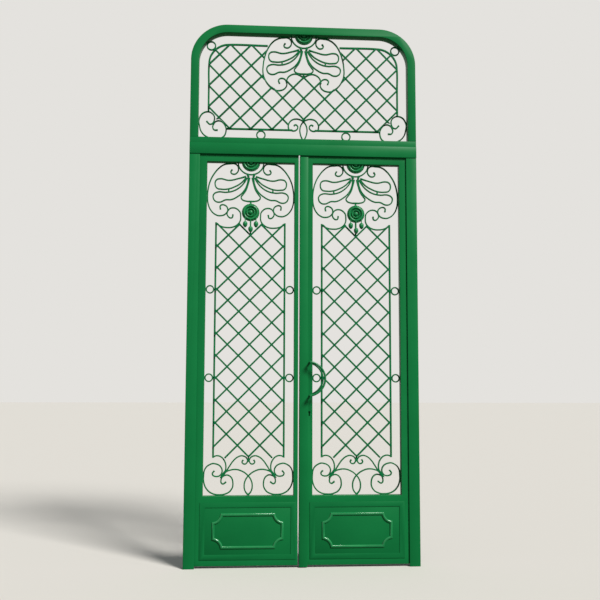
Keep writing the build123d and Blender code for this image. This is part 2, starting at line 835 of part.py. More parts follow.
# Bowed pull handles on the right leaf
def build_handle(face_depth, way, name):
    """A bowed bar between two short posts, on the front or the back of the stile."""
    bow_depth = face_depth + way * handle_standoff
    middle = ground_gap + handle_height
    half_spread = handle_spread / 2
    bow_radius = (half_spread**2 + handle_bow**2) / (2 * handle_bow)
    bow_angle = degrees(acos((bow_radius - handle_bow) / bow_radius))
    ends = (middle - half_spread, middle + half_spread)
    with BuildPart() as handle:
        with BuildLine(face_plane(bow_depth)) as bow:
            eye = (handle_x + handle_bow - bow_radius, middle)
            Polyline(*volute(eye, -bow_angle, bow_angle, (bow_radius,) * (handle_facets + 1)))
        with BuildSketch(Plane(bow.line @ 0, z_dir=bow.line % 0)) as section:
            RegularPolygon(handle_bar / 2, handle_sides)
        sweep(section.sketch, path=bow.line, transition=Transition.RIGHT)
        with BuildSketch(face_plane(face_depth)) as posts:
            with Locations(*[(handle_x, z) for z in ends]):
                RegularPolygon(handle_bar / 2, handle_sides)
        extrude(posts.sketch, amount=-way * (handle_standoff + handle_bar / 2))
        with BuildSketch(face_plane(face_depth)) as roses:
            with Locations(*[(handle_x, z) for z in ends]):
                RegularPolygon(rose_radius, knuckle_sides)
        extrude(roses.sketch, amount=-way * rose_thickness)
    finish(handle, name)


build_handle(leaf_front, -1, "front_handle")
build_handle(leaf_back, 1, "back_handle")
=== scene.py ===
# %% [markdown]
# Wrought iron entrance gate
#
# The gate is a pair of leaves hung in a steel frame, with an arched grille over them, all
# brushed with one green gloss paint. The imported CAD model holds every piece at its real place.
# This file makes the look: the round corners of the tubes and bars, the smooth bends of the
# scrollwork, the castings, the pull handles, the welds and the paint.

import json
from math import atan2, cos, degrees, radians, sin, sqrt

import bpy
from mathutils import Euler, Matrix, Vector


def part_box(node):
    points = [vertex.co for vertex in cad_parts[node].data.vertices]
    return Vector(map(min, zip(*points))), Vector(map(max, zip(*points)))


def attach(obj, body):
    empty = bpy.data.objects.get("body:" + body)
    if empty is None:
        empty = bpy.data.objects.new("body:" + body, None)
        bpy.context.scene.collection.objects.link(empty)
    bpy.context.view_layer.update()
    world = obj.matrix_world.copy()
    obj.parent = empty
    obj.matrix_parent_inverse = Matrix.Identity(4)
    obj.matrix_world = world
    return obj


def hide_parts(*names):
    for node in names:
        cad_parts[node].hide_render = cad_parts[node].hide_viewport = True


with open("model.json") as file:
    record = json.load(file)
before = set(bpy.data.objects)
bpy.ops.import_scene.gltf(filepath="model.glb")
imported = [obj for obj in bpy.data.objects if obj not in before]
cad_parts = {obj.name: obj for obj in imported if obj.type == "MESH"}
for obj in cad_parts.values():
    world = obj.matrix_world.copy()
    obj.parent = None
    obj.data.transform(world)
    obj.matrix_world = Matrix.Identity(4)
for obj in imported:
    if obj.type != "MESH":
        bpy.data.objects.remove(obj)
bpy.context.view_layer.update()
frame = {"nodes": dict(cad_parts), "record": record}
scene = bpy.context.scene
MM = 0.001

# %% [markdown]
# Places come from the frame. The ironwork is drawn in millimetres from the centre line of each
# opening and from the rail that carries it, so the openings are measured here once.


# %% Measure the openings
def low(node):
    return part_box(node)[0]


def high(node):
    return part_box(node)[1]


GATE_X = (low("left_jamb").x + high("right_jamb").x) / 2
HALF_OPENING = (high("head_beam").x - low("head_beam").x) / 2
SILL = {"left": high("left_mid_rail").z, "right": high("right_mid_rail").z}
LEAF_HEAD = low("left_top_rail").z
LEAF_FRONT = low("left_top_rail").y
LEAF_BACK = high("left_top_rail").y
LEAF_X = {}
for side in ("left", "right"):
    LEAF_X[side] = (low(f"{side}_top_rail").x + high(f"{side}_top_rail").x) / 2
LEAF_HALF = (high("left_top_rail").x - low("left_top_rail").x) / 2
ARCH_FOOT = high("transom_sill").z
ARCH_HEAD = low("transom_top_bar").z
WEB_FRONT = low("left_palmette").y
SCROLL_FRONT = low("left_crest_scrolls").y
print("gate centre", round(GATE_X, 4), "leaf opening", round(2 * LEAF_HALF, 4), "wide")

# %% [markdown]
# The photograph was taken from about 4.8 m, a little left of the centre line and at chest height,
# looking slightly up and to the right. A 48 mm lens on a full-size sensor gives the same frame.

# %% Camera
LENS = 48.0
SENSOR = 36.0
CAMERA_PLACE = (0.3277, -4.8338, 1.1160)
CAMERA_RIGHT = 3.896
CAMERA_UP = 5.477
CAMERA_ROLL = -0.176

bpy.ops.object.camera_add(location=CAMERA_PLACE)
camera = bpy.context.object
camera.name = "camera"
camera.data.lens = LENS
camera.data.sensor_width = SENSOR
camera.rotation_euler = Euler(
    (radians(90 + CAMERA_UP), radians(CAMERA_ROLL), radians(-CAMERA_RIGHT)), "XYZ",
)
scene.camera = camera
scene.view_settings.view_transform = "Standard"
print("camera at", CAMERA_PLACE)

# %% [markdown]
# Colours are written as sRGB hex, as a paint chart gives them, and one function turns them to
# the linear values that the shader works with. Another small function adds a node with its
# settings and its links.


# %% Colour and node helpers
def paint_colour(code):
    """sRGB hex to linear RGBA."""
    parts = [int(code[i:i + 2], 16) / 255 for i in (0, 2, 4)]
    return tuple(v / 12.92 if v <= 0.04045 else ((v + 0.055) / 1.055) ** 2.4 for v in parts) + (1.0,)


def add_node(tree, kind, settings=None, links=None):
    """A node with its own settings, socket values and links from other nodes' sockets."""
    node = tree.nodes.new(kind)
    for name, value in (settings or {}).items():
        if hasattr(node, name):
            setattr(node, name, value)
        else:
            node.inputs[name].default_value = value
    for name, source in (links or {}).items():
        tree.links.new(source, node.inputs[name])
    return node


def deselect():
    """Nothing selected, so that the next operator acts on its own object only."""
    for other in bpy.context.selected_objects:
        other.select_set(False)


def choose(piece):
    """The piece selected and active, and nothing else."""
    deselect()
    piece.select_set(True)
    bpy.context.view_layer.objects.active = piece


deselect()
print("helpers ready")

# %% [markdown]
# The floor is a wide pale plane and the background is a pale world. One broad soft light falls
# from high on the right in front, as in the photograph. A sun lamp with a wide angle lights the
# whole floor alike, where an area lamp would leave it dark far behind the gate, and the world
# gives the shaded sides a weak even light. The floor is pale to the camera and darker to every
# other ray, so that the green keeps its depth near it. The world is pale to the camera, in gloss
# and through glass, and weaker as light.


# %% Rays that see the pale studio
def seen_by(tree, *kinds):
    """1 for rays of the given kinds, 0 for all the others."""
    ray = add_node(tree, "ShaderNodeLightPath")
    found = ray.outputs[kinds[0]]
    for kind in kinds[1:]:
        larger = add_node(tree, "ShaderNodeMath", {"operation": "MAXIMUM"})
        tree.links.new(found, larger.inputs[0])
        tree.links.new(ray.outputs[kind], larger.inputs[1])
        found = larger.outputs[0]
    return found


print("ray helper ready")

# %% Floor
FLOOR_COLOUR = "DAD5CC"
FLOOR_BOUNCE = "77726A"
FLOOR_SIZE = 60.0

bpy.ops.mesh.primitive_plane_add(size=FLOOR_SIZE, location=(GATE_X, 0, 0))
floor = bpy.context.object
floor.name = "floor"
floor_finish = bpy.data.materials.new("matt_studio_floor")
floor_finish.use_nodes = True
floor_shader = floor_finish.node_tree.nodes["Principled BSDF"]
floor_tree = floor_finish.node_tree
floor_tint = add_node(
    floor_tree, "ShaderNodeMix", {"data_type": "RGBA"}, {"Factor": seen_by(floor_tree, "Is Camera Ray")},
)
colour_sockets = [socket for socket in floor_tint.inputs if socket.type == "RGBA"]
colour_sockets[0].default_value = paint_colour(FLOOR_BOUNCE)
colour_sockets[1].default_value = paint_colour(FLOOR_COLOUR)
tint_out = [socket for socket in floor_tint.outputs if socket.type == "RGBA"][0]
floor_tree.links.new(tint_out, floor_shader.inputs["Base Color"])
floor_shader.inputs["Roughness"].default_value = 0.95
floor_shader.inputs["Specular IOR Level"].default_value = 0.1
floor.data.materials.append(floor_finish)
print("floor", FLOOR_SIZE, "m wide")

# %% Background and sun
BACKGROUND = "E4E2DE"
SKY_LIGHT = "DDE6EE"
SKY_STRENGTH = 0.27
world = bpy.data.worlds.new("pale_studio")
world.use_nodes = True
scene.world = world
sky = world.node_tree
sky.nodes.clear()
ambient = add_node(
    sky, "ShaderNodeBackground", {"Color": paint_colour(SKY_LIGHT), "Strength": SKY_STRENGTH},
)
shown = add_node(sky, "ShaderNodeBackground", {"Color": paint_colour(BACKGROUND), "Strength": 1.0})
pale = seen_by(sky, "Is Camera Ray", "Is Transmission Ray", "Is Glossy Ray")
mixed = add_node(sky, "ShaderNodeMixShader", {}, {"Fac": pale})
sky.links.new(ambient.outputs[0], mixed.inputs[1])
sky.links.new(shown.outputs[0], mixed.inputs[2])
add_node(sky, "ShaderNodeOutputWorld", {}, {"Surface": mixed.outputs[0]})

SUN_STRENGTH = 4.1
SUN_SPREAD = 18
SUN_HEIGHT = 42
SUN_RIGHT = 38
bpy.ops.object.light_add(type="SUN", location=(3, -4, 5))
sun = bpy.context.object
sun.name = "soft_sun"
sun.data.energy = SUN_STRENGTH
sun.data.angle = radians(SUN_SPREAD)
sun.rotation_euler = Euler((radians(90 - SUN_HEIGHT), 0, radians(SUN_RIGHT)), "XYZ")
print("world and sun ready")

# %% [markdown]
# The real finish is solvent gloss paint brushed over primed steel. It is opaque and even, with a
# soft sheen, a slight orange-peel and faint brush lines, and it lies a touch thicker and darker
# in some places than in others. A coat of varnish isn't there, so the gloss is the paint's own.
# An old coat reflects little, so its specular level is low, and it is higher on the castings and
# the handle, which hands and rain keep smooth, and on the drawn bead. The castings and the bead
# are also a lighter green, a painted highlight for the light that their raised shapes catch.
# Patches, peel and brush lines are real sizes in millimetres, the peel drawn coarse enough to show.


# %% Green gloss paint
BRUSH_LENGTH = 40
BRUSH_DEPTH = 0.2


def gloss_paint(
    name, colour, shade, roughness, patch_mm, peel_mm, peel_depth, brush_mm=None, gloss=0.1,
):
    """Brushed gloss paint on steel: its colour, patches of thicker paint, peel and brush lines."""
    paint = bpy.data.materials.new(name)
    paint.use_nodes = True
    tree = paint.node_tree
    shader = tree.nodes["Principled BSDF"]
    shader.inputs["IOR"].default_value = 1.5
    shader.inputs["Specular IOR Level"].default_value = gloss
    place = add_node(tree, "ShaderNodeTexCoord").outputs["Object"]
    patches = add_node(
        tree, "ShaderNodeTexNoise",
        {"Scale": 1000 / patch_mm, "Detail": 3.0, "Roughness": 0.55},
        {"Vector": place},
    )
    tint = add_node(tree, "ShaderNodeValToRGB", {}, {"Fac": patches.outputs["Fac"]})
    tint.color_ramp.elements[0].position = 0.3
    tint.color_ramp.elements[0].color = paint_colour(shade)
    tint.color_ramp.elements[1].position = 0.7
    tint.color_ramp.elements[1].color = paint_colour(colour)
    tree.links.new(tint.outputs["Color"], shader.inputs["Base Color"])
    sheen = add_node(
        tree, "ShaderNodeMapRange",
        {"From Min": 0.3, "From Max": 0.7, "To Min": roughness - 0.05, "To Max": roughness + 0.07},
        {"Value": patches.outputs["Fac"]},
    )
    tree.links.new(sheen.outputs["Result"], shader.inputs["Roughness"])
    peel = add_node(
        tree, "ShaderNodeTexNoise", {"Scale": 1000 / peel_mm, "Detail": 2.0}, {"Vector": place},
    )
    relief = add_node(
        tree, "ShaderNodeBump", {"Strength": 0.35, "Distance": peel_depth * MM},
        {"Height": peel.outputs["Fac"]},
    )
    if brush_mm:
        # Brush lines follow the tubes' length, which is upright on most of them.
        across = 1000 / brush_mm
        drawn = add_node(
            tree, "ShaderNodeMapping", {"Scale": (across, across, across / BRUSH_LENGTH)}, {"Vector": place},
        )
        lines = add_node(
            tree, "ShaderNodeTexNoise", {"Scale": 1.0, "Detail": 2.0}, {"Vector": drawn.outputs[0]},
        )
        relief = add_node(
            tree, "ShaderNodeBump", {"Strength": 0.2, "Distance": BRUSH_DEPTH * MM},
            {"Height": lines.outputs["Fac"], "Normal": relief.outputs["Normal"]},
        )
    tree.links.new(relief.outputs["Normal"], shader.inputs["Normal"])
    return paint


print("gloss paint ready to mix")

# %% Paints of the gate
PAINT = {
    "frame_paint": gloss_paint(
        "brushed_gloss_paint_on_tube", "11763D", "107039", 0.36, 260, 5, 0.25, 3.0,
    ),
    "sheet_paint": gloss_paint(
        "brushed_gloss_paint_on_sheet", "0F6F39", "0E6936", 0.38, 320, 6, 0.3, 4.0,
    ),
    "scroll_paint": gloss_paint(
        "gloss_paint_on_forged_bar", "11743F", "0D673A", 0.34, 60, 3, 0.2,
    ),
    "lattice_paint": gloss_paint(
        "gloss_paint_on_flat_bar", "107140", "0C6438", 0.36, 60, 3, 0.2,
    ),
    # The castings' lighter green is a painted highlight for the light on their raised rings; their higher
    # gloss is the paint's own.
    "casting_paint": gloss_paint(
        "gloss_paint_on_cast_iron_with_painted_highlight", "1A8A4C", "12743F", 0.26, 40, 2, 0.15, gloss=0.3,
    ),
    "handle_paint": gloss_paint(
        "gloss_paint_on_round_bar", "137A42", "0F703C", 0.22, 80, 3, 0.1, gloss=0.3,
    ),
    "hinge_paint": gloss_paint(
        "gloss_paint_on_hinge_steel", "107240", "0C6436", 0.34, 30, 3, 0.15,
    ),
}
# The bead's lighter green than the sheet's is a painted highlight along the bead; its higher gloss is the
# paint's own.
bead_paint_with_painted_highlight = gloss_paint("gloss_paint_on_drawn_bead_with_painted_highlight", "168246", "117640", 0.2, 120, 5, 0.1, gloss=0.55)
print("paints", ", ".join(paint.name for paint in PAINT.values()))

# %% [markdown]
# A tube's corners are rolled, a flat bar's edges are drawn slightly round, and paint rounds both
# further. The solids have sharp edges, so each plain piece gets a copy of its node's mesh with
# its doubles merged, its flat triangles dissolved and a narrow bevel on every edge that turns by
# more than 30 degrees. The copy stands for the node, rides on its body and takes its paint.

# %% Finish and copy helpers
SLOTS = {part["node"]: part["material_slot"] for part in frame["record"]["subparts"]}
NODE_BODY = {}
for body_name, members in frame["record"]["behaviour"]["bodies"].items():
    for node_name in members:
        NODE_BODY[node_name] = body_name


def settle(piece, node, *others, paint=None):
    """Paint a finished piece, ride it on its node's body and let it stand for that node."""
    piece.data.materials.clear()
    piece.data.materials.append(paint or PAINT[SLOTS[node]])
    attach(piece, NODE_BODY[node])
    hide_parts(node, *others)


def close_mesh(piece, gap=0.00001):
    """Merge doubles and turn every face outwards."""
    choose(piece)
    bpy.ops.object.mode_set(mode="EDIT")
    bpy.ops.mesh.select_all(action="SELECT")
    bpy.ops.mesh.remove_doubles(threshold=gap)
    bpy.ops.mesh.normals_make_consistent(inside=False)
    bpy.ops.object.mode_set(mode="OBJECT")


def copy_node(node):
    """A copy of a node's mesh as an object of its own, with its loose triangles merged."""
    source = frame["nodes"][node]
    piece = source.copy()
    piece.data = source.data.copy()
    piece.name = f"painted_{node}"
    scene.collection.objects.link(piece)
    piece.parent = None
    choose(piece)
    bpy.ops.object.mode_set(mode="EDIT")
    bpy.ops.mesh.select_all(action="SELECT")
    bpy.ops.mesh.remove_doubles(threshold=0.00001)
    bpy.ops.object.mode_set(mode="OBJECT")
    return piece


print(len(SLOTS), "nodes have a paint")


# %% Plain pieces with round edges
def round_edges(piece, width_mm, segments=2, sharp=30):
    """A narrow bevel on every edge that turns by more than an angle."""
    choose(piece)
    bevel = piece.modifiers.new("round_edges", "BEVEL")
    bevel.width = width_mm * MM
    bevel.segments = segments
    bevel.limit_method = "ANGLE"
    bevel.angle_limit = radians(sharp)
    bevel.use_clamp_overlap = False
    bpy.ops.object.modifier_apply(modifier=bevel.name)
    bpy.ops.object.shade_smooth_by_angle(angle=radians(35))


def soften(node, width_mm, segments=2, flat=True):
    """A copy of a node with round edges, in place of the node."""
    piece = copy_node(node)
    if flat:
        bpy.ops.object.mode_set(mode="EDIT")
        bpy.ops.mesh.dissolve_limited(angle_limit=radians(1))
        bpy.ops.object.mode_set(mode="OBJECT")
    round_edges(piece, width_mm, segments)
    settle(piece, node)
    return piece


TUBE_EDGE = 2.0
PLATE_EDGE = 0.8
BAR_EDGE = 0.9
tubes = ["left_jamb", "right_jamb", "head_beam", "transom_sill"]
plates = ["head_cover_strip", "right_cover_strip"]
for side in ("left", "right"):
    plates += [f"{side}_kick_panel", f"{side}_panel_trim"]
for node in tubes:
    soften(node, TUBE_EDGE, 3)
for node in plates:
    soften(node, PLATE_EDGE)
for node in ("left_lattice", "right_lattice", "transom_lattice"):
    soften(node, BAR_EDGE, 1)
print(len(tubes), "tubes and", len(plates), "plates softened")

# %% [markdown]
# The frame of a leaf is five tubes, welded, ground flush and painted over, so that no seam shows
# where they meet. One plane as large as the leaf is cut along the sides of its two openings by
# bisect, the faces that lie in the openings are deleted, and the rest is extruded to the depth
# of the tubes. The bevel then rounds only the real edges, because a cut in a flat face has none.


# %% Welded leaf frames
def weld_leaf(side):
    """One leaf's stiles and rails as a single welded piece."""
    outer = (low(f"{side}_hinge_stile"), high(f"{side}_hinge_stile"))
    inner = (low(f"{side}_meeting_stile"), high(f"{side}_meeting_stile"))
    left = min(outer[0].x, inner[0].x)
    right = max(outer[1].x, inner[1].x)
    opening_x = (low(f"{side}_top_rail").x, high(f"{side}_top_rail").x)
    cuts_z = (
        high(f"{side}_bottom_rail").z, low(f"{side}_mid_rail").z,
        high(f"{side}_mid_rail").z, low(f"{side}_top_rail").z,
    )
    foot = outer[0].z
    head = outer[1].z
    deselect()
    bpy.ops.mesh.primitive_plane_add(size=1, location=((left + right) / 2, LEAF_BACK, (foot + head) / 2))
    piece = bpy.context.object
    piece.name = f"{side}_welded_frame"
    piece.scale = (right - left, head - foot, 1)
    piece.rotation_euler = (radians(90), 0, 0)
    bpy.ops.object.transform_apply(location=True, rotation=True, scale=True)
    bpy.ops.object.mode_set(mode="EDIT")
    for cut in opening_x:
        bpy.ops.mesh.select_all(action="SELECT")
        bpy.ops.mesh.bisect(plane_co=(cut, 0, 0), plane_no=(1, 0, 0))
    for cut in cuts_z:
        bpy.ops.mesh.select_all(action="SELECT")
        bpy.ops.mesh.bisect(plane_co=(0, 0, cut), plane_no=(0, 0, 1))
    bpy.ops.mesh.select_mode(type="FACE")
    bpy.ops.mesh.select_all(action="DESELECT")
    bpy.ops.object.mode_set(mode="OBJECT")
    for face in piece.data.polygons:
        between = opening_x[0] < face.center.x < opening_x[1]
        in_panel = cuts_z[0] < face.center.z < cuts_z[1]
        in_grille = cuts_z[2] < face.center.z < cuts_z[3]
        face.select = between and (in_panel or in_grille)
    bpy.ops.object.mode_set(mode="EDIT")
    bpy.ops.mesh.delete(type="FACE")
    bpy.ops.mesh.select_mode(type="VERT")
    bpy.ops.mesh.select_all(action="SELECT")
    bpy.ops.mesh.extrude_region_move(TRANSFORM_OT_translate={"value": (0, LEAF_FRONT - LEAF_BACK, 0)})
    bpy.ops.mesh.select_all(action="SELECT")
    bpy.ops.mesh.normals_make_consistent(inside=False)
    bpy.ops.object.mode_set(mode="OBJECT")
    return piece


print("leaf frames can be welded")

# %% [markdown]
# The lock is in the right leaf's wide stile. Its keyhole, a round hole over a slot, is open on
# both faces, and each side is a blind cut made by boolean with two temporary tools.

# %% Keyholes and both leaf frames
KEYHOLE_X = 36.5
KEYHOLE_Z = 904.0
KEYHOLE_RADIUS = 6.5
KEYHOLE_SLOT = 7.0
KEYHOLE_DROP = 22.0
KEYHOLE_DEPTH = 15.0


def cut_keyhole(piece, face_y):
    """A blind keyhole, as a round hole over a slot, cut by a temporary tool."""
    deselect()
    bpy.ops.mesh.primitive_cylinder_add(
        vertices=32, radius=KEYHOLE_RADIUS * MM, depth=2 * KEYHOLE_DEPTH * MM,
        location=(GATE_X + KEYHOLE_X * MM, face_y, KEYHOLE_Z * MM), rotation=(radians(90), 0, 0),
    )
    drill = bpy.context.object
    bpy.ops.mesh.primitive_cube_add(
        size=1, location=(GATE_X + KEYHOLE_X * MM, face_y, (KEYHOLE_Z - KEYHOLE_DROP / 2) * MM),
        scale=(KEYHOLE_SLOT * MM, 2 * KEYHOLE_DEPTH * MM, KEYHOLE_DROP * MM),
    )
    slot = bpy.context.object
    for tool in (drill, slot):
        choose(piece)
        hole = piece.modifiers.new("keyhole", "BOOLEAN")
        hole.operation = "DIFFERENCE"
        hole.object = tool
        bpy.ops.object.modifier_apply(modifier=hole.name)
        bpy.data.objects.remove(tool)


for side in ("left", "right"):
    leaf_frame = weld_leaf(side)
    if side == "right":
        cut_keyhole(leaf_frame, LEAF_FRONT)
        cut_keyhole(leaf_frame, LEAF_BACK)
    round_edges(leaf_frame, TUBE_EDGE, 3, 50)
    settle(
        leaf_frame, f"{side}_hinge_stile", f"{side}_meeting_stile", f"{side}_top_rail",
        f"{side}_mid_rail", f"{side}_bottom_rail",
    )
    print(leaf_frame.name, len(leaf_frame.data.polygons), "faces")

# %% [markdown]
# The arch is one tube, bent round at both shoulders. Its sides and its top bar are copied and
# joined, the faces inside the joints are deleted, and the merged ring gets round edges.

# %% Welded arch
arch = copy_node("transom_left_side")
others = [copy_node("transom_top_bar"), copy_node("transom_right_side")]
choose(arch)
for other in others:
    other.select_set(True)
bpy.ops.object.join()
arch.name = "welded_arch"
bpy.ops.object.mode_set(mode="EDIT")
bpy.ops.mesh.select_all(action="SELECT")
bpy.ops.mesh.remove_doubles(threshold=0.00002)
bpy.ops.mesh.select_mode(type="FACE")
bpy.ops.mesh.select_all(action="DESELECT")
bpy.ops.object.mode_set(mode="OBJECT")
joint_places = (low("transom_top_bar").x, high("transom_top_bar").x)
for face in arch.data.polygons:
    face.select = abs(face.normal.x) > 0.99 and min(abs(face.center.x - x) for x in joint_places) < 0.0001
bpy.ops.object.mode_set(mode="EDIT")
bpy.ops.mesh.delete(type="FACE")
bpy.ops.mesh.select_mode(type="VERT")
bpy.ops.mesh.select_all(action="SELECT")
bpy.ops.mesh.dissolve_limited(angle_limit=radians(1))
bpy.ops.object.mode_set(mode="OBJECT")
round_edges(arch, TUBE_EDGE, 3)
settle(arch, "transom_left_side", "transom_top_bar", "transom_right_side")
print(arch.name, len(arch.data.polygons), "faces")

# %% [markdown]
# The handles are bent from round bar, and the solids show them with flat facets. Their triangles
# are joined to four-sided faces, their sharp edges get a narrow bevel that keeps them crisp, and
# one level of subdivision then makes the bars round. The small hinges only get round edges.


# %% Handles and hinges
HANDLE_EDGE = 0.6
HINGE_EDGE = 0.5


def smooth_round(node, edge_mm):
    """A copy of a node with its sharp edges kept and its facets smoothed."""
    piece = copy_node(node)
    bpy.ops.object.mode_set(mode="EDIT")
    bpy.ops.mesh.tris_convert_to_quads(face_threshold=radians(1), shape_threshold=radians(180))
    bpy.ops.object.mode_set(mode="OBJECT")
    round_edges(piece, edge_mm, 2, 50)
    finer = piece.modifiers.new("smooth", "SUBSURF")
    finer.levels = 1
    finer.render_levels = 1
    bpy.ops.object.modifier_apply(modifier=finer.name)
    bpy.ops.object.shade_smooth_by_angle(angle=radians(50))
    settle(piece, node)
    return piece


for side in ("left", "right"):
    soften(f"{side}_hinge_pins", HINGE_EDGE, 2, flat=False)
    soften(f"{side}_hinge_knuckles", HINGE_EDGE, 2, flat=False)
smooth_round("front_handle", HANDLE_EDGE)
smooth_round("back_handle", HANDLE_EDGE)
print("handles and hinges smoothed")

# %% [markdown]
# The scrollwork is flat bar, bent edgewise over a jig to smooth curves whose ends are curled and
# slightly thickened by the hammer. A bar is drawn as a flat curve through a few points, with
# automatic handles, and the bar's section with its round corners is swept along it. Points are
# in millimetres from the centre line of the opening and from the rail that carries the bar.

# %% Bar sections
BAR_WIDTH = 8.0
BAR_DEPTH = 12.0
BORDER_WIDTH = 11.0
TIE_WIDTH = 9.0
BAR_CORNER = 1.4


def bar_section(name, width_mm, depth_mm):
    """The outline of a bar with round corners, as a closed flat curve."""
    deselect()
    bpy.ops.mesh.primitive_plane_add(size=1)
    outline = bpy.context.object
    outline.name = name
    outline.scale = (width_mm * MM, depth_mm * MM, 1)
    bpy.ops.object.transform_apply(location=True, rotation=True, scale=True)
    bpy.ops.object.mode_set(mode="EDIT")
    bpy.ops.mesh.select_all(action="SELECT")
    bpy.ops.mesh.bevel(offset=BAR_CORNER * MM, segments=2, affect="VERTICES")
    bpy.ops.mesh.select_all(action="SELECT")
    bpy.ops.mesh.delete(type="ONLY_FACE")
    bpy.ops.object.mode_set(mode="OBJECT")
    bpy.ops.object.convert(target="CURVE")
    return bpy.context.object


scroll_section = bar_section("scroll_section", BAR_WIDTH, BAR_DEPTH)
border_section = bar_section("border_section", BORDER_WIDTH, BAR_DEPTH)
tie_section = bar_section("tie_section", TIE_WIDTH, BAR_DEPTH)
print("sections", scroll_section.name, border_section.name, tie_section.name)

# %% [markdown]
# A curve object could stay a curve, but its bars are wanted as closed meshes that other bars join.
# So the flat curve is converted, turned upright, put at its place and given outward faces. The
# point radius at each free end is larger, as the hammer leaves it.


# %% Forged bars
def forge(
    name, bends, section, centre_x, base_z, front_y, closed=False, tips=1.25, steps=9, kind="AUTO",
):
    """Bars bent along smooth lines through points in millimetres, as one mesh at its place."""
    drawn = bpy.data.curves.new(name, "CURVE")
    drawn.dimensions = "2D"
    drawn.fill_mode = "NONE"
    drawn.resolution_u = steps
    drawn.bevel_mode = "OBJECT"
    drawn.bevel_object = section
    drawn.use_fill_caps = True
    for bend in bends:
        line = drawn.splines.new("BEZIER")
        line.bezier_points.add(len(bend) - 1)
        line.use_cyclic_u = closed
        for knot, (x, z) in zip(line.bezier_points, bend):
            knot.co = (x * MM, z * MM, 0)
            knot.handle_left_type = kind
            knot.handle_right_type = kind
    bar = bpy.data.objects.new(name, drawn)
    scene.collection.objects.link(bar)
    if tips != 1.0:
        for line in drawn.splines:
            line.bezier_points[0].radius = tips
            line.bezier_points[-1].radius = tips
    choose(bar)
    bpy.ops.object.convert(target="MESH")
    bar = bpy.context.object
    bar.rotation_euler = (radians(90), 0, 0)
    bar.location = (centre_x, front_y + BAR_DEPTH / 2 * MM, base_z)
    bpy.ops.object.transform_apply(location=True, rotation=True, scale=True)
    close_mesh(bar)
    bpy.ops.object.shade_smooth_by_angle(angle=radians(40))
    return bar


def join_bars(name, bars):
    """Several bars as one piece."""
    choose(bars[0])
    for bar in bars[1:]:
        bar.select_set(True)
    bpy.ops.object.join()
    bars[0].name = name
    return bars[0]


def both_sides(points, across=1.0):
    """A bend and its mirror image, stretched across."""
    return [[(half * across * x, z) for x, z in points] for half in (-1, 1)]


def volute(eye, first_angle, last_angle, radii):
    """Points round an eye at even steps of angle, one for each radius."""
    step = (last_angle - first_angle) / (len(radii) - 1)
    points = []
    for index, radius in enumerate(radii):
        angle = radians(first_angle + index * step)
        points.append((eye[0] + radius * cos(angle), eye[1] + radius * sin(angle)))
    return points


PATTERN_HALF = 269.0
BAR_SEAT = 3.2
TRANSOM_FOOT = 65.0
ACROSS = LEAF_HALF / MM / PATTERN_HALF
print("across", round(ACROSS, 4))

# %% [markdown]
# These are the bends of the pattern for the right of a centre line, each read as a few points.
# A drawn template does the same for a smith, who bends each bar until it lies on its line. Curls
# are spirals round an eye, so they are worked out from an angle and a few radii.

# %% The pattern's bends
upper_loop = [
    (30, -84), (74, -97), (134, -110), (190, -101), (212, -109), (220, -134),
    (208, -160), (184, -166), (140, -164), (94, -147), (62, -127), (30, -94),
]
lower_loop = [
    (24, -92), (44, -127), (74, -157), (108, -176), (150, -185), (206, -185), (228, -200),
    (230, -222), (216, -242), (190, -247), (154, -232), (120, -230), (80, -210),
    (44, -177), (24, -137), (15, -92),
]
bell_side = [
    (8, -92), (17, -132), (30, -170), (50, -200), (59, -214), (52, -229), (28, -238), (0, -240),
]
loop_tie = ((136, -163), (136, -187))

crest_curl = volute((105, -42), 375, 110, (12, 24, 26, 25, 29, 38))
leaf_crest = (
    crest_curl
    + [(135, -BAR_SEAT), (166, -9), (195, -29), (226, -66), (249, -110), (262, -160)]
    + [(PATTERN_HALF - BAR_SEAT, -212), (260, -262), (243, -298), (218, -321)]
    + volute((170, -290), 295, 0, (43, 31, 29, 29, 29, 16))
)
border_head = volute((118, -318), -158, 162, (11, 25.5, 26, 27.5, 37, 52)) + [
    (61, -335), (64, -362), (78, -383), (104, -399), (143, -404), (183, -396), (211, -378),
]
border_foot = [(211, 226), (188, 233), (163, 226), (145, 207), (135, 182), (135, 152), (142, 130)]
bottom_bunch = [(170, 102), (158, 125), (142, 145), (130, 152), (126, 143), (136, 128), (154, 104)]
inner_curl = [(141, 131), (128, 147), (112, 172), (88, 205), (60, 227)] + volute(
    (23, 201), 72, 400, (32, 20, 17, 17.5, 16, 11)
)
arch_tie = (196, 236)
crossed_arch = [
    (138, 137), (113, 147), (73, 152), (38, 142), (8, 122), (-17, 89), (-24, 54), (-17, 24),
    (0, BAR_SEAT),
]
corner_scroll = (
    volute((191, 134), 400, 77, (15, 25, 24, 30, 40, 53))
    + [(232, 179), (257, 156), (PATTERN_HALF - BAR_SEAT, 112), (263, 72), (246, 36), (216, 12)]
    + [(173, BAR_SEAT), (133, 9), (105, 27)]
    + volute((140, 91), 207, -125, (55, 36, 23, 21.5, 28, 16))
)
transom_crest_back = [
    (130, -BAR_SEAT), (161, -10), (196, -34), (226, -79), (244, -129), (254, -189),
    (254, -239), (241, -279), (219, -313), (191, -337),
]
transom_crest = (
    crest_curl + transom_crest_back + volute((136, -295), 291, -20, (55, 38, 29, 29, 27, 16))
)
palmette_skirt = [(0, -264), (21, -251), (51, -241), (81, -249), (101, -269), (108, -300)]
transom_corner_scroll = (
    volute((60, 128), -130, 180, (19, 36, 37, 42, 48, 60 - BAR_SEAT))
    + [(5, 85), (20, 42), (55, 13), (105, BAR_SEAT), (145, 12)]
    + volute((118, 75), -38, 270, (60.6, 46, 43, 33, 28, 17))
)
